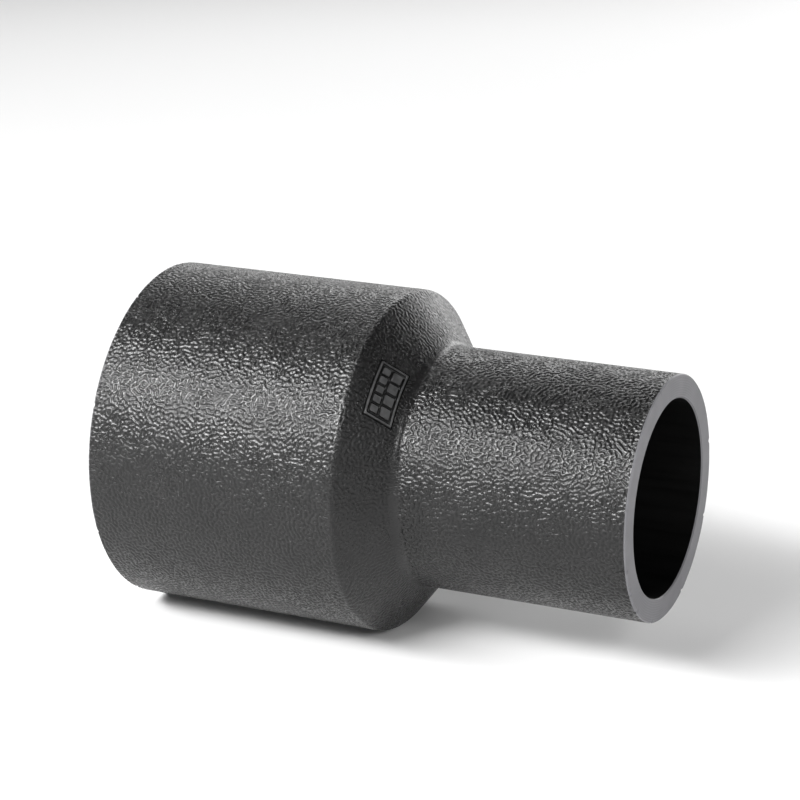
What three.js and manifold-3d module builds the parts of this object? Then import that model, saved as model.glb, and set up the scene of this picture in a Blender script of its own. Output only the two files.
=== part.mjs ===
// A polyethylene butt-fusion pipe reducer, 90 mm to 63 mm, lying on its large spigot.
// Millimetres, +Z up. X runs along the bore from the large end to the small end, the middle of the
// length is at X = 0 and the surface that it lies on is at Z = 0.

import * as THREE from "three";
import { mergeVertices } from "three/addons/utils/BufferGeometryUtils.js";
import Module from "manifold-3d";

const wasm = await Module();
wasm.setup();

// Driving dimensions
const LARGE_OD = 90;
const LARGE_WALL = 8.4;
const SMALL_OD = 63;
const SMALL_WALL = 6.1;
const OVERALL_LENGTH = 142;
const LARGE_SPIGOT = 70;
const CONE_LENGTH = 10.5;
const SHOULDER_RADIUS = 1.6; // convex, where the large spigot turns into the cone
const NECK_RADIUS = 3; // concave, where the cone turns into the small spigot
const EDGE_BREAK = 0.4; // chamfer on the four edges of the planed end faces
const BORE_TAPER_START = 58; // from the large face
const BORE_TAPER_END = 84;
const SIDES = 96; // flats round the fitting
const ARC_STEPS = 4; // chords to each rounded corner of the outline

// The marking plate, moulded into the cone
const PLATE_ARC = 15.3; // round the cone
const PLATE_WIDTH = 8.4; // up the cone's slope
const PLATE_MIDDLE = 9.8; // up the slope, from the shoulder to the plate's centre line
const PLATE_ANGLE = THREE.MathUtils.degToRad(45); // above the horizontal, on the -Y side
const PLATE_DEPTH = 1.2;
const PLATE_GAP = 0.3; // witness line round the plate, and the gap under it
const BORDER_WIDTH = 0.7;
const RELIEF = 0.3; // how far the border and the blocks stand off the plate
const BLOCK_GAP = 0.75;

// Worked out from the above
const largeRadius = LARGE_OD / 2;
const smallRadius = SMALL_OD / 2;
const slope = Math.atan2(largeRadius - smallRadius, CONE_LENGTH); // of the cone, from the axis

const material = (color, roughness) => new THREE.MeshStandardMaterial({ color, roughness, metalness: 0 });
const grainedPolyethylene = material(0x2b2b2c, 0.5);
const smoothPolyethylene = material(0x3c3c3d, 0.45);

// A closed BufferGeometry as a manifold-3d solid.
function toSolid(geometry) {
  const plain = geometry.clone();
  plain.deleteAttribute("normal");
  plain.deleteAttribute("uv");
  const merged = mergeVertices(plain, 1e-4);
  return new wasm.Manifold(
    new wasm.Mesh({
      numProp: 3,
      vertProperties: new Float32Array(merged.attributes.position.array),
      triVerts: new Uint32Array(merged.index.array),
    }),
  );
}

// A manifold-3d solid as a BufferGeometry.
function toGeometry(solid) {
  const mesh = solid.getMesh();
  const geometry = new THREE.BufferGeometry();
  geometry.setAttribute("position", new THREE.BufferAttribute(mesh.vertProperties, 3));
  geometry.setIndex(new THREE.BufferAttribute(mesh.triVerts, 1));
  geometry.computeVertexNormals();
  return geometry;
}

// The half section as an outline of (radius, distance from the large face), from the large face's
// outer edge along the outside to the small face and back through the bore.
function halfSection() {
  const largeBore = largeRadius - LARGE_WALL;
  const smallBore = smallRadius - SMALL_WALL;
  const shoulderRun = SHOULDER_RADIUS * Math.tan(slope / 2);
  const neckRun = NECK_RADIUS * Math.tan(slope / 2);
  const coneEnd = LARGE_SPIGOT + CONE_LENGTH;
  const outline = new THREE.Path();
  outline.moveTo(largeRadius, EDGE_BREAK);
  outline.lineTo(largeRadius, LARGE_SPIGOT - shoulderRun);
  outline.absarc(
    largeRadius - SHOULDER_RADIUS,
    LARGE_SPIGOT - shoulderRun,
    SHOULDER_RADIUS,
    0,
    slope,
    false,
  );
  outline.absarc(
    smallRadius + NECK_RADIUS,
    coneEnd + neckRun,
    NECK_RADIUS,
    Math.PI + slope,
    Math.PI,
    true,
  );
  outline.lineTo(smallRadius, OVERALL_LENGTH - EDGE_BREAK);
  outline.lineTo(smallRadius - EDGE_BREAK, OVERALL_LENGTH);
  outline.lineTo(smallBore + EDGE_BREAK, OVERALL_LENGTH);
  outline.lineTo(smallBore, OVERALL_LENGTH - EDGE_BREAK);
  outline.lineTo(smallBore, BORE_TAPER_END);
  outline.lineTo(largeBore, BORE_TAPER_START);
  outline.lineTo(largeBore, EDGE_BREAK);
  outline.lineTo(largeBore + EDGE_BREAK, 0);
  outline.lineTo(largeRadius - EDGE_BREAK, 0);
  outline.closePath();
  return outline.getPoints(ARC_STEPS);
}

// The turned shape, its axis on X and a flat side down.
function turnedBody() {
  const halfFlat = Math.PI / SIDES;
  const turned = new THREE.LatheGeometry(halfSection(), SIDES, halfFlat);
  return toSolid(turned.rotateZ(-Math.PI / 2));
}

// A block that follows the cone. In millimetres from the plate's centre, arc is its [low, high] down
// round the cone and slant its [low, high] up the slope; height is its [low, high] off the surface.
function coneBlock(arc, slant, height) {
  const steps = Math.max(1, Math.round((arc[1] - arc[0]) / 1.3));
  const block = new THREE.BoxGeometry(1, 1, 1, steps, 1, 1);
  const position = block.attributes.position;
  const between = ([low, high], share) => low + (high - low) * (share + 0.5);
  for (let i = 0; i < position.count; i++) {
    const up = PLATE_MIDDLE + between(slant, position.getY(i));
    const off = between(height, position.getZ(i));
    const coneRadius = largeRadius - up * Math.sin(slope);
    const angle = PLATE_ANGLE - between(arc, position.getX(i)) / coneRadius;
    const radius = coneRadius + off * Math.cos(slope);
    position.setXYZ(
      i,
      LARGE_SPIGOT + up * Math.cos(slope) + off * Math.sin(slope),
      -radius * Math.cos(angle),
      radius * Math.sin(angle),
    );
  }
  return toSolid(block);
}

// The pocket in the cone that the plate sits in.
function platePocket() {
  const arc = PLATE_ARC / 2 + PLATE_GAP;
  const slant = PLATE_WIDTH / 2 + PLATE_GAP;
  return coneBlock([-arc, arc], [-slant, slant], [-PLATE_DEPTH - PLATE_GAP, 2]);
}

// One row of plain raised blocks, count of them, between the border's two short sides.
function blockRow(count, slant) {
  const inside = PLATE_ARC / 2 - BORDER_WIDTH - BLOCK_GAP;
  const pitch = (2 * inside + BLOCK_GAP) / count;
  return Array.from({ length: count }, (_, i) => {
    const start = -inside + i * pitch;
    return coneBlock([start, start + pitch - BLOCK_GAP], slant, [-PLATE_DEPTH / 2, RELIEF]);
  });
}

// The plate: a smooth pad with a raised border and two rows of raised blocks.
function markingPlate() {
  const arc = PLATE_ARC / 2;
  const slant = PLATE_WIDTH / 2;
  const sunk = -PLATE_DEPTH / 2;
  const pad = coneBlock([-arc, arc], [-slant, slant], [-PLATE_DEPTH, 0]);
  const frame = coneBlock([-arc, arc], [-slant, slant], [sunk, RELIEF]).subtract(
    coneBlock(
      [-arc + BORDER_WIDTH, arc - BORDER_WIDTH],
      [-slant + BORDER_WIDTH, slant - BORDER_WIDTH],
      [2 * sunk, 2 * RELIEF],
    ),
  );
  const rows = [...blockRow(5, [-2.9, -0.7]), ...blockRow(4, [0.1, 2.9])];
  return rows.reduce((plate, block) => plate.add(block), pad.add(frame));
}

function named(name, solid, finish) {
  const mesh = new THREE.Mesh(toGeometry(solid), finish);
  mesh.name = name;
  return mesh;
}

const reducer = new THREE.Group();
reducer.position.set(-OVERALL_LENGTH / 2, 0, largeRadius * Math.cos(Math.PI / SIDES));
reducer.add(named("reducer_body", turnedBody().subtract(platePocket()), grainedPolyethylene));
reducer.add(named("marking_plate", markingPlate(), smoothPolyethylene));

export default reducer;
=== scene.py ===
"""A black polyethylene butt-fusion reducer, 90 mm to 63 mm, lying on its large spigot on a pale floor.

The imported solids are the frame. Two pieces take their places: the moulding, with its moulded-in grain,
planed ends and shaved edges, and the marking plate in the cone. Lengths named here are in millimetres
until they become vertices.
"""

import math

import bpy
import numpy as np
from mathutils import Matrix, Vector


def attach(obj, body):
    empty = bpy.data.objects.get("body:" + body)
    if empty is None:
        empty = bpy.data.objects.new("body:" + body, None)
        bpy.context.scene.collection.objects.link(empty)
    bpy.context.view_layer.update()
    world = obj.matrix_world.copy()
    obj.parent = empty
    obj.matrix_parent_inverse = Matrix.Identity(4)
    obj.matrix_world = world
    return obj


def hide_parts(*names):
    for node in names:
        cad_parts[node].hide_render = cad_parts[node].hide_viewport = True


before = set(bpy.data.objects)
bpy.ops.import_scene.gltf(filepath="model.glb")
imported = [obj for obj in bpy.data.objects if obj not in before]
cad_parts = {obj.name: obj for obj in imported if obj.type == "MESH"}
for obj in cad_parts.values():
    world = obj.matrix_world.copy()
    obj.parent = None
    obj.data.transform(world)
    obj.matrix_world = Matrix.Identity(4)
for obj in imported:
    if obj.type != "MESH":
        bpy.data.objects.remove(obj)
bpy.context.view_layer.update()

MM = 0.001
SEED = 9063

# The moulding
LARGE_RADIUS = 44.97
LARGE_WALL = 8.4
SMALL_RADIUS = 31.5
SMALL_WALL = 6.1
LENGTH = 142.0
SHOULDER_AT = 70.0
CONE_LENGTH = 10.5
SHOULDER_ROUND = 1.6
NECK_ROUND = 3.0
EDGE_BREAK = 0.35
TAPER_START = 58.0
TAPER_END = 84.0
AXIS_HEIGHT = 44.976

# How finely it is divided: round it, and along the outline of each zone
SEGMENTS = 1120
ROW = 0.25
OUTER_EDGE_ROW = 0.12
INNER_EDGE_ROW = 0.2
FACE_ROW = 0.6
BORE_ROW = 3.0

# The grain: spacing and depth, how it is drawn, and how shallow it runs on the cone and in the neck
GRAIN_PERIOD = 1.18
GRAIN_DEPTH = 0.21
GRAIN_SPREAD = 0.5
GRAIN_ROUNDS = 2
GRAIN_STEEPNESS = 2.2
GRAIN_SOFT = 0.38
GRAIN_FLATS = 1.5
GRAIN_BIAS = 0.6
GRAIN_MARGIN = 6
CONE_GRAIN = 0.55
NECK_GRAIN = 0.1
CONE_MIDDLE_RADIUS = 38.5
ZONE_BLEND_ROWS = 4
PATCH_SIZE = 9.0
PATCH_CHANGE = 0.05

# The break of the outer edges: a wavy shave, as high as it gets and as far back as it fades
SHAVE_DEPTH = 0.105
SHAVE_LENGTH = 0.45
SHAVE_WAVES = (7, 13, 23, 41, 67, 101)

# Nicks in the outer edges: degrees above the -Y side, half width, length back from the face, depth
SMALL_END_NICKS = [
    (-18, 0.45, 1.6, 0.45), (-28.7, 0.6, 2.0, 0.6), (-33, 0.3, 0.9, 0.4), (-47, 0.5, 0.9, 0.4),
    (12, 0.3, 0.6, 0.22), (74, 0.4, 0.8, 0.25), (131, 0.35, 1.0, 0.3), (168, 0.5, 0.7, 0.3),
    (205, 0.3, 1.4, 0.3), (247, 0.45, 0.9, 0.35), (289, 0.3, 0.8, 0.25),
]
LARGE_END_NICKS = [
    (23, 0.5, 0.9, 0.3), (66, 0.35, 1.4, 0.3), (118, 0.5, 0.8, 0.35), (152, 0.3, 1.1, 0.3),
    (197, 0.45, 1.5, 0.35), (236, 0.35, 0.8, 0.3), (301, 0.5, 1.1, 0.3), (338, 0.3, 0.8, 0.25),
]

# The marking plate; each row of blocks is how many, and where across the plate it starts and ends
PLATE_ARC = 15.3
PLATE_WIDTH = 8.4
PLATE_MIDDLE = 9.8
PLATE_ANGLE = math.radians(45)
PLATE_DEPTH = 1.2
PLATE_GAP = 0.3
POCKET_TOP = 2.0
BORDER_WIDTH = 0.7
RELIEF = 0.3
BLOCK_GAP = 0.75
BLOCK_ROWS = ((5, -2.9, -0.7), (4, 0.1, 2.9))
BLOCK_CORNER = 0.3
RIDGE_START = 0.12
RIDGE_END = 0.62
MOAT_WIDTH = 0.28
MOAT_DEPTH = 0.3
CRISP = 0.12
# Level of the plate's flat ground in its tone value, between the moats (0), painted near black as painted
# shade, and the raised tops (1), painted lighter
GROUND_TONE = 0.35
PLATE_COLUMNS = 256
PLATE_ROWS = 141

# The studio
HORIZON = 0.85
ZENITH = 0.06

# The unrolled map: the square's side and the gaps in it, and the bore's scale against the rest
MAP_SIDE = 284.0
MAP_MARGIN = 0.5
MAP_SPACING = 1.0
BORE_MAP_SCALE = 0.7

SLOPE = math.atan2(LARGE_RADIUS - SMALL_RADIUS, CONE_LENGTH)
rng = np.random.default_rng(SEED)


def steps(start, end, spacing):
    """Evenly spaced values from start up to but not including end."""
    count = max(1, int(round(abs(end - start) / spacing)))
    return [start + (end - start) * i / count for i in range(count)]


def outline():
    """The half section as rows of (radius, distance from the large face, zone), a closed loop."""
    large_bore = LARGE_RADIUS - LARGE_WALL
    small_bore = SMALL_RADIUS - SMALL_WALL
    shoulder_run = SHOULDER_ROUND * math.tan(SLOPE / 2)
    neck_run = NECK_ROUND * math.tan(SLOPE / 2)
    cone_end = SHOULDER_AT + CONE_LENGTH
    rows = []

    def line(r0, x0, r1, x1, zone, spacing):
        length = math.hypot(r1 - r0, x1 - x0)
        for d in steps(0, length, spacing):
            rows.append((r0 + (r1 - r0) * d / length, x0 + (x1 - x0) * d / length, zone))

    def arc(radius_centre, x_centre, radius, start, end, zone, spacing):
        for d in steps(0, abs(end - start) * radius, spacing):
            angle = start + math.copysign(d / radius, end - start)
            rows.append((radius_centre + radius * math.cos(angle), x_centre + radius * math.sin(angle), zone))

    # outside, from the large face to the small one
    line(LARGE_RADIUS, EDGE_BREAK, LARGE_RADIUS, SHOULDER_AT - shoulder_run, "large", ROW)
    arc(LARGE_RADIUS - SHOULDER_ROUND, SHOULDER_AT - shoulder_run, SHOULDER_ROUND, 0, SLOPE, "cone", ROW)
    shoulder_radius = LARGE_RADIUS - SHOULDER_ROUND + SHOULDER_ROUND * math.cos(SLOPE)
    shoulder_end = SHOULDER_AT - shoulder_run + SHOULDER_ROUND * math.sin(SLOPE)
    neck_radius = SMALL_RADIUS + NECK_ROUND - NECK_ROUND * math.cos(SLOPE)
    neck_start = cone_end + neck_run - NECK_ROUND * math.sin(SLOPE)
    line(shoulder_radius, shoulder_end, neck_radius, neck_start, "cone", ROW)
    arc(SMALL_RADIUS + NECK_ROUND, cone_end + neck_run, NECK_ROUND, math.pi + SLOPE, math.pi, "cone", ROW)
    line(SMALL_RADIUS, cone_end + neck_run, SMALL_RADIUS, LENGTH - EDGE_BREAK, "small", ROW)
    line(SMALL_RADIUS, LENGTH - EDGE_BREAK, SMALL_RADIUS - EDGE_BREAK, LENGTH, "edge", OUTER_EDGE_ROW)
    line(SMALL_RADIUS - EDGE_BREAK, LENGTH, small_bore + EDGE_BREAK, LENGTH, "face", FACE_ROW)
    # and back through the bore
    line(small_bore + EDGE_BREAK, LENGTH, small_bore, LENGTH - EDGE_BREAK, "edge", INNER_EDGE_ROW)
    line(small_bore, LENGTH - EDGE_BREAK, small_bore, TAPER_END, "bore", BORE_ROW)
    line(small_bore, TAPER_END, large_bore, TAPER_START, "bore", BORE_ROW)
    line(large_bore, TAPER_START, large_bore, EDGE_BREAK, "bore", BORE_ROW)
    line(large_bore, EDGE_BREAK, large_bore + EDGE_BREAK, 0, "edge", INNER_EDGE_ROW)
    line(large_bore + EDGE_BREAK, 0, LARGE_RADIUS - EDGE_BREAK, 0, "face", FACE_ROW)
    line(LARGE_RADIUS - EDGE_BREAK, 0, LARGE_RADIUS, EDGE_BREAK, "edge", OUTER_EDGE_ROW)
    return rows


def worm_grain(rows, columns, row_step, column_step, period, noise):
    """Winding raised and sunk worms with steep flanks between them, -1 to 1, repeating round the columns."""
    pad = int(GRAIN_MARGIN / row_step)
    height = rows + 2 * pad
    fy = np.fft.fftfreq(height, row_step)[:, None]
    fx = np.fft.rfftfreq(columns, column_step)[None, :]
    radial = np.hypot(fy, fx) * period
    band = np.exp(-(((radial - 1) / GRAIN_SPREAD) ** 2))
    field = noise.standard_normal((height, columns))
    for _ in range(GRAIN_ROUNDS):
        field = np.fft.irfft2(np.fft.rfft2(field) * band, s=field.shape)
        field = np.tanh(GRAIN_STEEPNESS * field / field.std())
    soft = np.exp(-((np.hypot(fy, fx) * GRAIN_SOFT) ** 2))
    field = np.fft.irfft2(np.fft.rfft2(field) * soft, s=field.shape)
    return (field / np.abs(field).max())[pad : pad + rows]


def slow_noise(rows, columns, row_step, column_step, size, noise):
    """Smooth noise with features of about the given size, unit deviation, repeating round the columns."""
    fy = np.fft.fftfreq(rows * 2, row_step)[:, None]
    fx = np.fft.rfftfreq(columns, column_step)[None, :]
    low = np.exp(-((np.hypot(fy, fx) * size) ** 2))
    white = noise.standard_normal((rows * 2, columns))
    field = np.fft.irfft2(np.fft.rfft2(white) * low, s=white.shape)
    return (field / field.std())[:rows]


def link(nodes, start, end):
    nodes.id_data.links.new(start, end)


def new_object(name, mesh):
    ob = bpy.data.objects.new(name, mesh)
    bpy.context.scene.collection.objects.link(ob)
    return ob


def add_vertex_value(mesh, name, values):
    attribute = mesh.attributes.new(name, "FLOAT", "POINT")
    attribute.data.foreach_set("value", np.asarray(values, np.float32).ravel())


def mesh_from_arrays(name, points, quads):
    mesh = bpy.data.meshes.new(name)
    mesh.vertices.add(len(points))
    mesh.vertices.foreach_set("co", np.asarray(points, np.float32).ravel())
    mesh.loops.add(quads.size)
    mesh.loops.foreach_set("vertex_index", np.asarray(quads, np.int32).ravel())
    mesh.polygons.add(len(quads))
    mesh.polygons.foreach_set("loop_start", np.arange(len(quads), dtype=np.int32) * quads.shape[1])
    mesh.update(calc_edges=True)
    mesh.validate()
    return mesh


def add_map(mesh, radius, along, zones):
    """Unrolls the outline's zones as strips stacked up a square, all at one scale but for the bore."""
    strips = np.zeros((len(radius), SEGMENTS, 4, 2), np.float32)
    base = MAP_MARGIN
    following = np.roll(np.arange(len(radius)), -1)
    step = np.hypot(radius[following] - radius, along[following] - along)
    names = np.array([zone if zone != "edge" else "face" for zone in zones])
    breaks = [0] + [i for i in range(1, len(names)) if names[i] != names[i - 1]] + [len(names)]
    for start, end in zip(breaks[:-1], breaks[1:]):
        shrink = BORE_MAP_SCALE if names[start] == "bore" else 1.0
        width = 2 * math.pi * radius[start:end].max() * shrink
        across = width * np.arange(SEGMENTS + 1) / SEGMENTS
        offset = np.concatenate([[0], np.cumsum(step[start:end])]) * shrink
        for k in range(start, end):
            low = np.full(SEGMENTS, base + offset[k - start])
            high = np.full(SEGMENTS, base + offset[k - start + 1])
            corners = ((across[:-1], low), (across[:-1], high), (across[1:], high), (across[1:], low))
            for corner, (u, v) in enumerate(corners):
                strips[k, :, corner] = np.stack([u, v], -1)
        base += offset[-1] + MAP_SPACING
    layer = mesh.uv_layers.new(name="OFBake")
    placed = (strips.reshape(-1, 2) + [MAP_MARGIN, 0]) / MAP_SIDE
    layer.uv.foreach_set("vector", placed.astype(np.float32).ravel())


def rim_wear(along, radius, angle):
    """How far each vertex near an end's outer edge is knocked back: a shaved, wavy edge and a few nicks."""
    wear = np.zeros((len(along), len(angle)))
    for face_at, inward, nicks in ((LENGTH, -1, SMALL_END_NICKS), (0.0, 1, LARGE_END_NICKS)):
        outer_radius = SMALL_RADIUS if face_at else LARGE_RADIUS
        back = (along - face_at) * inward
        outside = (radius > outer_radius - EDGE_BREAK - 0.01) & (back < 3)
        edge = np.exp(-((back / SHAVE_LENGTH) ** 2)) * outside
        waves = sum(rng.normal() / k * np.cos(k * angle + rng.uniform(0, 2 * math.pi)) for k in SHAVE_WAVES)
        wear += edge[:, None] * SHAVE_DEPTH * np.clip(waves, 0, 1)[None, :]
        for degrees, width, length, depth in nicks:
            turn = np.angle(np.exp(1j * (angle - math.radians(degrees)))) * outer_radius
            lengthways = np.exp(-((back / length) ** 2)) * outside
            sideways = np.exp(-((np.abs(turn) / width) ** 3))
            wear += depth * lengthways[:, None] * sideways[None, :]
    return wear


def grain_depths(zones):
    """The grain's height at each outside vertex, about -1 to 1, each zone easing into the next."""
    index = np.arange(len(zones))
    rows_of = {zone: index[zones == zone] for zone in ("large", "cone", "small")}
    last = int(rows_of["small"].max())
    depth = np.zeros((last + 1, SEGMENTS))
    weights = np.zeros(last + 1)
    ease = ZONE_BLEND_ROWS
    for zone, radius in (("large", LARGE_RADIUS), ("cone", CONE_MIDDLE_RADIUS), ("small", SMALL_RADIUS)):
        low, high = rows_of[zone].min(), rows_of[zone].max()
        start, end = max(0, low - ease), min(last, high + ease)
        column = 2 * math.pi * radius / SEGMENTS
        field = worm_grain(end - start + 1, SEGMENTS, ROW, column, GRAIN_PERIOD, rng)
        k = np.arange(start, end + 1)
        rise = np.clip((k - (low - ease) + 1) / (2 * ease + 1), 0, 1) if low > 0 else np.ones(len(k))
        fall = np.clip(((high + ease) - k + 1) / (2 * ease + 1), 0, 1) if high < last else np.ones(len(k))
        weight = np.minimum(rise, fall)
        depth[start : end + 1] += weight[:, None] * field
        weights[start : end + 1] += weight**2
    depth /= np.sqrt(np.maximum(weights, 1e-6))[:, None]
    strength = 1 + PATCH_CHANGE * slow_noise(last + 1, SEGMENTS, ROW, ROW, PATCH_SIZE, rng)
    return depth * strength


def grain_relief(along, zones):
    """How far the grain goes in at each vertex: 0 on the flats, negative in the grooves."""
    relief = np.zeros((len(zones), SEGMENTS))
    depth = grain_depths(zones)
    relief[: len(depth)] = (np.clip(depth * GRAIN_FLATS + GRAIN_BIAS, -1, 1) - 1) * GRAIN_DEPTH / 2
    kernel = np.hanning(9)
    shallow = np.where(zones == "cone", CONE_GRAIN, 1.0)
    neck_start = SHOULDER_AT + CONE_LENGTH + NECK_ROUND * (math.tan(SLOPE / 2) - math.sin(SLOPE))
    shallow[(zones == "cone") & (along > neck_start)] = NECK_GRAIN
    shallow = np.convolve(np.pad(shallow, 4, mode="wrap"), kernel / kernel.sum(), "valid")
    return relief * shallow[:, None]


def make_moulding():
    rows = outline()
    radius = np.array([r[0] for r in rows])
    along = np.array([r[1] for r in rows])
    zones = np.array([r[2] for r in rows])
    n = len(rows)
    # outward direction of the section at each row
    d_r = np.roll(radius, -1) - np.roll(radius, 1)
    d_x = np.roll(along, -1) - np.roll(along, 1)
    size = np.hypot(d_r, d_x)
    normal_r, normal_x = d_x / size, -d_r / size

    relief = grain_relief(along, zones)
    angle = np.arange(SEGMENTS) * 2 * math.pi / SEGMENTS
    height = np.clip(1 + relief / GRAIN_DEPTH, 0, 1)
    relief = np.minimum(relief, 0) - rim_wear(along, radius, angle)
    r = radius[:, None] + normal_r[:, None] * relief
    x = along[:, None] + normal_x[:, None] * relief
    across, up = -r * np.cos(angle)[None, :], AXIS_HEIGHT + r * np.sin(angle)[None, :]
    points = np.stack([x - LENGTH / 2, across, up], axis=-1)

    row = np.arange(n)[:, None] * SEGMENTS
    next_row = ((np.arange(n) + 1) % n)[:, None] * SEGMENTS
    column = np.arange(SEGMENTS)[None, :]
    next_column = (column + 1) % SEGMENTS
    corners = [row + column, next_row + column, next_row + next_column, row + next_column]
    quads = np.stack(corners, axis=-1).reshape(-1, 4)
    mesh = mesh_from_arrays("reducer_moulding", points.reshape(-1, 3) * MM, quads)
    materials = {"large": 0, "cone": 0, "small": 0, "edge": 1, "face": 1, "bore": 2}
    per_row = np.array([materials[zone] for zone in zones], np.int32)
    mesh.polygons.foreach_set("material_index", np.repeat(per_row, SEGMENTS))
    mesh.polygons.foreach_set("use_smooth", np.ones(len(quads), bool))
    # The grain's height, 1 on the flats and 0 deepest in the grooves; the grained material uses it to paint
    # the grooves darker, as painted shade.
    add_vertex_value(mesh, "grain", height)
    add_map(mesh, radius, along, zones)
    return new_object("reducer_moulding", mesh)


def cone_points(arc, slant, height):
    """Points on or off the cone, from the plate's centre: arc down round it, slant up it, height off it."""
    up = PLATE_MIDDLE + slant
    cone_radius = LARGE_RADIUS - up * math.sin(SLOPE)
    turn = PLATE_ANGLE - arc / cone_radius
    r = cone_radius + height * math.cos(SLOPE)
    return np.stack(
        [
            SHOULDER_AT + up * math.cos(SLOPE) + height * math.sin(SLOPE) - LENGTH / 2,
            -r * np.cos(turn),
            AXIS_HEIGHT + r * np.sin(turn),
        ],
        axis=-1,
    )


def slab(name, arcs, slants, top, bottom):
    """A closed slab on the cone: a grid of top heights over a flat underside, with straight sides."""
    rows, columns = len(slants), len(arcs)
    arc, slant = np.meshgrid(arcs, slants)
    upper = cone_points(arc, slant, top).reshape(-1, 3)
    lower = cone_points(arc, slant, np.full_like(top, bottom)).reshape(-1, 3)
    count = rows * columns
    i, j = np.meshgrid(np.arange(rows - 1), np.arange(columns - 1), indexing="ij")
    p = (i * columns + j).ravel()
    top_quads = np.stack([p, p + 1, p + columns + 1, p + columns], -1)
    bottom_quads = top_quads[:, ::-1] + count
    border = np.concatenate(
        [
            np.arange(columns),
            np.arange(1, rows) * columns + columns - 1,
            (rows - 1) * columns + np.arange(columns - 2, -1, -1),
            np.arange(rows - 2, 0, -1) * columns,
        ]
    )
    following = np.roll(border, -1)
    sides = np.stack([following, border, border + count, following + count], -1)
    quads = np.concatenate([top_quads, bottom_quads, sides])
    return mesh_from_arrays(name, np.concatenate([upper, lower]) * MM, quads)


def raised(u, v, box, soft):
    """1 inside the box, easing to 0 over soft at its sides, with rounded corners."""
    (u0, u1), (v0, v1) = box
    du = np.abs(u - (u0 + u1) / 2) - (u1 - u0) / 2 + BLOCK_CORNER
    dv = np.abs(v - (v0 + v1) / 2) - (v1 - v0) / 2 + BLOCK_CORNER
    beyond = np.hypot(np.maximum(du, 0), np.maximum(dv, 0))
    outside = beyond + np.minimum(np.maximum(du, dv), 0) - BLOCK_CORNER
    t = np.clip(0.5 - outside / soft, 0, 1)
    return t * t * (3 - 2 * t)


def make_plate():
    half_arc, half_width = PLATE_ARC / 2, PLATE_WIDTH / 2
    arcs = np.linspace(-half_arc, half_arc, PLATE_COLUMNS)
    slants = np.linspace(-half_width, half_width, PLATE_ROWS)
    u, v = np.meshgrid(arcs, slants)
    inside = half_arc - BORDER_WIDTH - BLOCK_GAP
    blocks = []
    for count, low, high in BLOCK_ROWS:
        pitch = (2 * inside + BLOCK_GAP) / count
        for i in range(count):
            start = -inside + i * pitch
            blocks.append(((start, start + pitch - BLOCK_GAP), (low, high)))

    def frame_box(inset):
        return ((-half_arc + inset, half_arc - inset), (-half_width + inset, half_width - inset))

    def grown(box, by):
        return tuple((low - by, high + by) for low, high in box)

    inner_edge = raised(u, v, frame_box(RIDGE_END), CRISP)
    ridge = raised(u, v, frame_box(RIDGE_START), CRISP) * (1 - inner_edge)
    moat = inner_edge * (1 - raised(u, v, frame_box(RIDGE_END + MOAT_WIDTH), CRISP))
    tops = ridge
    for box in blocks:
        tops = np.maximum(tops, raised(u, v, box, CRISP))
        moat = np.maximum(moat, raised(u, v, grown(box, MOAT_WIDTH), CRISP))
    moat = moat * (1 - tops)
    rim = np.minimum(half_arc - np.abs(u), half_width - np.abs(v))
    rounded = RIDGE_START * np.clip(1 - rim / RIDGE_START, 0, 1) ** 2
    height = tops * RELIEF - moat * MOAT_DEPTH - rounded
    mesh = slab("marking_pad", arcs, slants, height, -PLATE_DEPTH)
    mesh.polygons.foreach_set("use_smooth", np.ones(len(mesh.polygons), bool))
    # Tone value per vertex: 0 in the moats, which the pad material paints near black as painted shade in
    # these grooves; the ground level on the flat ground; 1 on the raised tops, which it paints lighter.
    raised_tone = np.zeros(len(mesh.vertices), np.float32)
    raised_tone[: height.size] = (GROUND_TONE * (1 - moat) + (1 - GROUND_TONE) * tops).ravel()
    add_vertex_value(mesh, "raised_tone", raised_tone)
    return new_object("marking_pad", mesh)


def cut_pocket(moulding):
    half_arc, half_width = PLATE_ARC / 2 + PLATE_GAP, PLATE_WIDTH / 2 + PLATE_GAP
    arcs = np.linspace(-half_arc, half_arc, 40)
    slants = np.linspace(-half_width, half_width, 3)
    top = np.full((len(slants), len(arcs)), POCKET_TOP)
    cutter = new_object("pocket", slab("pocket", arcs, slants, top, -PLATE_DEPTH - PLATE_GAP))
    mod = moulding.modifiers.new("pocket", "BOOLEAN")
    mod.operation = "DIFFERENCE"
    mod.solver = "MANIFOLD"
    mod.object = cutter
    bpy.context.view_layer.update()
    cut = bpy.data.meshes.new_from_object(moulding.evaluated_get(bpy.context.evaluated_depsgraph_get()))
    moulding.modifiers.clear()
    moulding.data = cut
    bpy.data.objects.remove(cutter)


def principled(name, color, roughness):
    mat = bpy.data.materials.new(name)
    mat.use_nodes = True
    bsdf = mat.node_tree.nodes["Principled BSDF"]
    bsdf.inputs["Base Color"].default_value = (*color, 1)
    bsdf.inputs["Roughness"].default_value = roughness
    return mat, bsdf


def noise_value(nodes, vector, scale, detail=2.0, stretch=None):
    """A noise texture's value at scale features per metre."""
    if stretch:
        mapping = nodes.new("ShaderNodeMapping")
        mapping.inputs["Scale"].default_value = stretch
        link(nodes, vector, mapping.inputs["Vector"])
        vector = mapping.outputs["Vector"]
    tex = nodes.new("ShaderNodeTexNoise")
    tex.inputs["Scale"].default_value = scale
    tex.inputs["Detail"].default_value = detail
    link(nodes, vector, tex.inputs["Vector"])
    return tex.outputs["Fac"]


def spread(nodes, value, low, high, start=0.3, end=0.7):
    """Maps a value from start..end to low..high."""
    node = nodes.new("ShaderNodeMapRange")
    node.inputs["From Min"].default_value = start
    node.inputs["From Max"].default_value = end
    node.inputs["To Min"].default_value = low
    node.inputs["To Max"].default_value = high
    link(nodes, value, node.inputs["Value"])
    return node.outputs["Result"]


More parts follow.
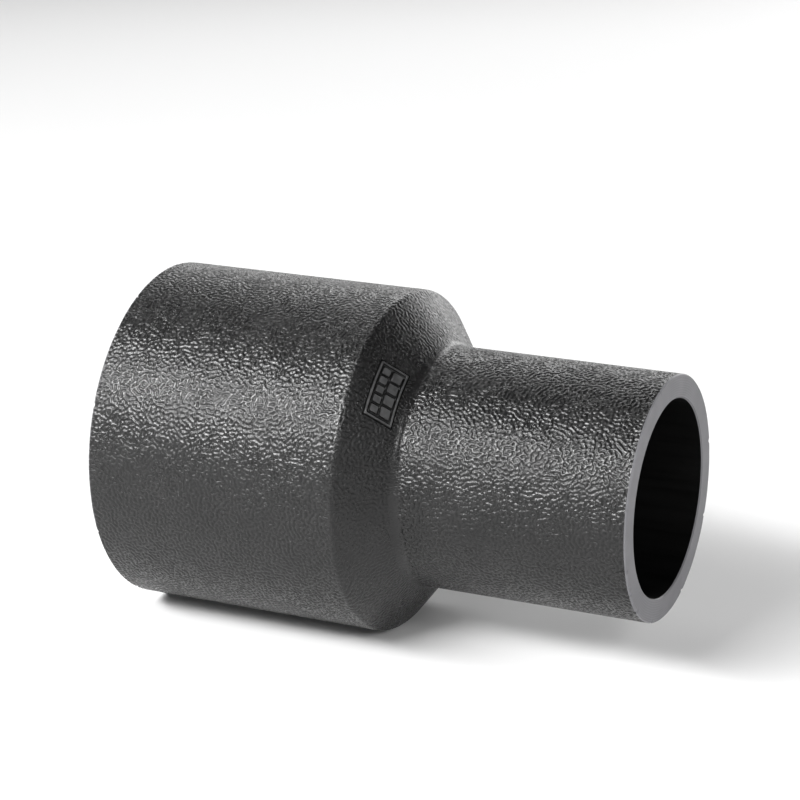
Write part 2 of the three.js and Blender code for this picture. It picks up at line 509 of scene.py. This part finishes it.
def mix_colors(nodes, factor, dark, light):
    node = nodes.new("ShaderNodeMix")
    node.data_type = "RGBA"
    link(nodes, factor, node.inputs["Factor"])
    for socket, value in (("A_Color", dark), ("B_Color", light)):
        target = next(i for i in node.inputs if i.identifier == socket)
        if isinstance(value, tuple):
            target.default_value = (*value, 1)
        else:
            link(nodes, value, target)
    return next(o for o in node.outputs if o.identifier == "Result_Color")


def add_values(nodes, first, second):
    node = nodes.new("ShaderNodeMath")
    node.operation = "ADD"
    link(nodes, first, node.inputs[0])
    link(nodes, second, node.inputs[1])
    return node.outputs[0]


def add_bump(nodes, bsdf, height, distance, strength=1.0):
    bump = nodes.new("ShaderNodeBump")
    bump.inputs["Distance"].default_value = distance * MM
    bump.inputs["Strength"].default_value = strength
    link(nodes, height, bump.inputs["Height"])
    link(nodes, bump.outputs["Normal"], bsdf.inputs["Normal"])


def crease_lines(nodes, vector, scale):
    """0 along thin winding lines, rising to 1 away from them."""
    away = nodes.new("ShaderNodeMath")
    away.operation = "SUBTRACT"
    away.inputs[1].default_value = 0.5
    link(nodes, noise_value(nodes, vector, scale, 1), away.inputs[0])
    distance = nodes.new("ShaderNodeMath")
    distance.operation = "ABSOLUTE"
    link(nodes, away.outputs[0], distance.inputs[0])
    return spread(nodes, distance.outputs[0], 0, 1, 0.0, 0.06)


def object_coordinates(nodes):
    return nodes.new("ShaderNodeTexCoord").outputs["Object"]


def grained_material():
    mat, bsdf = principled("grained_polyethylene", (0.006, 0.006, 0.0062), 0.25)
    nodes = mat.node_tree.nodes
    where = object_coordinates(nodes)
    attribute = nodes.new("ShaderNodeAttribute")
    attribute.attribute_name = "grain"
    top = attribute.outputs["Fac"]
    bsdf.inputs["Specular IOR Level"].default_value = 0.45
    raised_tone = mix_colors(
        nodes,
        spread(nodes, noise_value(nodes, where, 90, 5), 0, 1),
        (0.0035, 0.0035, 0.0036),
        (0.0085, 0.0082, 0.0084),
    )
    # The grooves are painted near black: painted shade in the grain's grooves. The flats keep their randomly
    # mottled tone.
    groove_painted_shade = (0.0007, 0.0007, 0.0007)
    color = mix_colors(nodes, spread(nodes, top, 0, 1, 0.1, 0.9), groove_painted_shade, raised_tone)
    link(nodes, color, bsdf.inputs["Base Color"])
    patches = spread(nodes, noise_value(nodes, where, 110, 3), -0.03, 0.04)
    roughness = add_values(nodes, spread(nodes, top, 0.33, 0.26, 0.0, 0.9), patches)
    link(nodes, roughness, bsdf.inputs["Roughness"])
    add_bump(nodes, bsdf, crease_lines(nodes, where, 1100), 0.035)
    return mat


def planed_material():
    mat, bsdf = principled("planed_polyethylene", (0.165, 0.163, 0.174), 0.5)
    nodes = mat.node_tree.nodes
    where = object_coordinates(nodes)
    centred = nodes.new("ShaderNodeMapping")
    centred.inputs["Location"].default_value = (0, 0, -AXIS_HEIGHT * MM)
    link(nodes, where, centred.inputs["Vector"])
    rings = nodes.new("ShaderNodeTexWave")
    rings.wave_type, rings.rings_direction = "RINGS", "X"
    rings.inputs["Scale"].default_value = 520
    rings.inputs["Distortion"].default_value = 2.5
    rings.inputs["Detail"].default_value = 2
    rings.inputs["Detail Scale"].default_value = 0.35
    link(nodes, centred.outputs["Vector"], rings.inputs["Vector"])
    mottle = spread(nodes, noise_value(nodes, where, 140, 5), 0, 1)
    color = mix_colors(nodes, mottle, (0.150, 0.148, 0.158), (0.182, 0.180, 0.192))
    link(nodes, color, bsdf.inputs["Base Color"])
    link(nodes, spread(nodes, rings.outputs["Fac"], 0.42, 0.56, 0, 1), bsdf.inputs["Roughness"])
    add_bump(nodes, bsdf, rings.outputs["Fac"], 0.012)
    return mat


def bore_material():
    # The bore's colour is darker and its specular weaker than the outside's: painted shade inside the bore.
    mat, bsdf = principled("bore_polyethylene", (0.003, 0.003, 0.003), 0.5)
    bsdf.inputs["Specular IOR Level"].default_value = 0.12
    nodes = mat.node_tree.nodes
    where = object_coordinates(nodes)
    draw = noise_value(nodes, where, 900, 3, (0.04, 1, 1))
    color = mix_colors(nodes, spread(nodes, draw, 0, 1), (0.0015, 0.0015, 0.0015), (0.004, 0.004, 0.004))
    link(nodes, color, bsdf.inputs["Base Color"])
    link(nodes, spread(nodes, draw, 0.46, 0.6), bsdf.inputs["Roughness"])
    add_bump(nodes, bsdf, draw, 0.02)
    return mat


def pad_material():
    mat, bsdf = principled("smooth_polyethylene", (0.02, 0.02, 0.0205), 0.34)
    nodes = mat.node_tree.nodes
    where = object_coordinates(nodes)
    attribute = nodes.new("ShaderNodeAttribute")
    attribute.attribute_name = "raised_tone"
    mottle = noise_value(nodes, where, 700, 4)
    lighter_tops = mix_colors(nodes, spread(nodes, mottle, 0, 1), (0.032, 0.032, 0.0325), (0.062, 0.062, 0.063))
    ground = mix_colors(nodes, spread(nodes, mottle, 0, 1), (0.007, 0.007, 0.0072), (0.013, 0.013, 0.0132))
    top = attribute.outputs["Fac"]
    # The moats round the blocks and inside the border are painted near black: painted shade in these narrow
    # grooves. The raised tops are painted lighter than the ground.
    ground_with_painted_moat_shade = mix_colors(nodes, spread(nodes, top, 0, 1, 0.0, GROUND_TONE), (0.0008, 0.0008, 0.0008), ground)
    color = mix_colors(nodes, spread(nodes, top, 0, 1, GROUND_TONE + 0.05, 0.95), ground_with_painted_moat_shade, lighter_tops)
    link(nodes, color, bsdf.inputs["Base Color"])
    link(nodes, spread(nodes, mottle, 0.28, 0.42), bsdf.inputs["Roughness"])
    add_bump(nodes, bsdf, noise_value(nodes, where, 2600, 3), 0.012)
    return mat


grained, planed = grained_material(), planed_material()
bored, smooth = bore_material(), pad_material()

moulding = make_moulding()
for mat in (grained, planed, bored):
    moulding.data.materials.append(mat)
cut_pocket(moulding)
moulding.data.set_sharp_from_angle(angle=math.radians(42))
plate = make_plate()
plate.data.materials.append(smooth)
plate.data.set_sharp_from_angle(angle=math.radians(50))
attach(moulding, "root")
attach(plate, "root")
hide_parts("reducer_body")
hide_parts("marking_plate")


def area_light(name, direction, distance, size_x, size_y, energy, aim=(0, 0, 0.045)):
    data = bpy.data.lights.new(name, "AREA")
    data.shape = "RECTANGLE"
    data.size, data.size_y = size_x, size_y
    data.energy = energy
    ob = bpy.data.objects.new(name, data)
    bpy.context.scene.collection.objects.link(ob)
    d = Vector(direction).normalized()
    ob.location = Vector(aim) + d * distance
    ob.rotation_euler = d.to_track_quat("Z", "Y").to_euler()


floor_mesh = bpy.data.meshes.new("floor")
floor_mesh.from_pydata([(-4, -4, 0), (4, -4, 0), (4, 4, 0), (-4, 4, 0)], [], [(0, 1, 2, 3)])
floor = new_object("floor", floor_mesh)
floor_mat, _ = principled("floor", (0.78, 0.78, 0.78), 0.6)
floor_mesh.materials.append(floor_mat)

world = bpy.data.worlds.new("studio")
world.use_nodes = True
wn = world.node_tree.nodes
coord = wn.new("ShaderNodeTexCoord")
split = wn.new("ShaderNodeSeparateXYZ")
ramp = wn.new("ShaderNodeMapRange")
ramp.interpolation_type = "SMOOTHSTEP"
ramp.inputs["From Min"].default_value = 0.12
ramp.inputs["From Max"].default_value = 0.45
ramp.inputs["To Min"].default_value = HORIZON
ramp.inputs["To Max"].default_value = ZENITH
link(wn, coord.outputs["Generated"], split.inputs[0])
link(wn, split.outputs["Z"], ramp.inputs["Value"])
link(wn, ramp.outputs["Result"], wn["Background"].inputs["Strength"])
wn["Background"].inputs["Color"].default_value = (1, 1, 1, 1)
bpy.context.scene.world = world
area_light("key", (-0.41, -0.68, 0.61), 1.2, 1.0, 0.16, 18)
area_light("key_spread", (-0.41, -0.68, 0.61), 1.25, 1.0, 0.55, 13)
area_light("top", (-0.41, 0.24, 0.88), 1.3, 1.0, 0.12, 2.2)
area_light("back", (-0.30, 0.80, 0.50), 1.4, 1.0, 0.3, 5.5)
area_light("rim", (0.12, 0.96, 0.22), 1.5, 0.9, 0.5, 4.5)
area_light("fill", (0.70, -0.52, 0.49), 1.6, 0.4, 0.4, 7.5)

camera_data = bpy.data.cameras.new("camera")
camera_data.lens = 116.77
camera_data.sensor_width = 36
camera = bpy.data.objects.new("camera", camera_data)
bpy.context.scene.collection.objects.link(camera)
aim = Vector((-0.0034, 0, 0.0612))
camera.location = Vector((0.2717, -0.5844, 0.2563))
camera.rotation_euler = (camera.location - aim).to_track_quat("Z", "Y").to_euler()
bpy.context.scene.camera = camera
bpy.context.scene.view_settings.view_transform = "Standard"
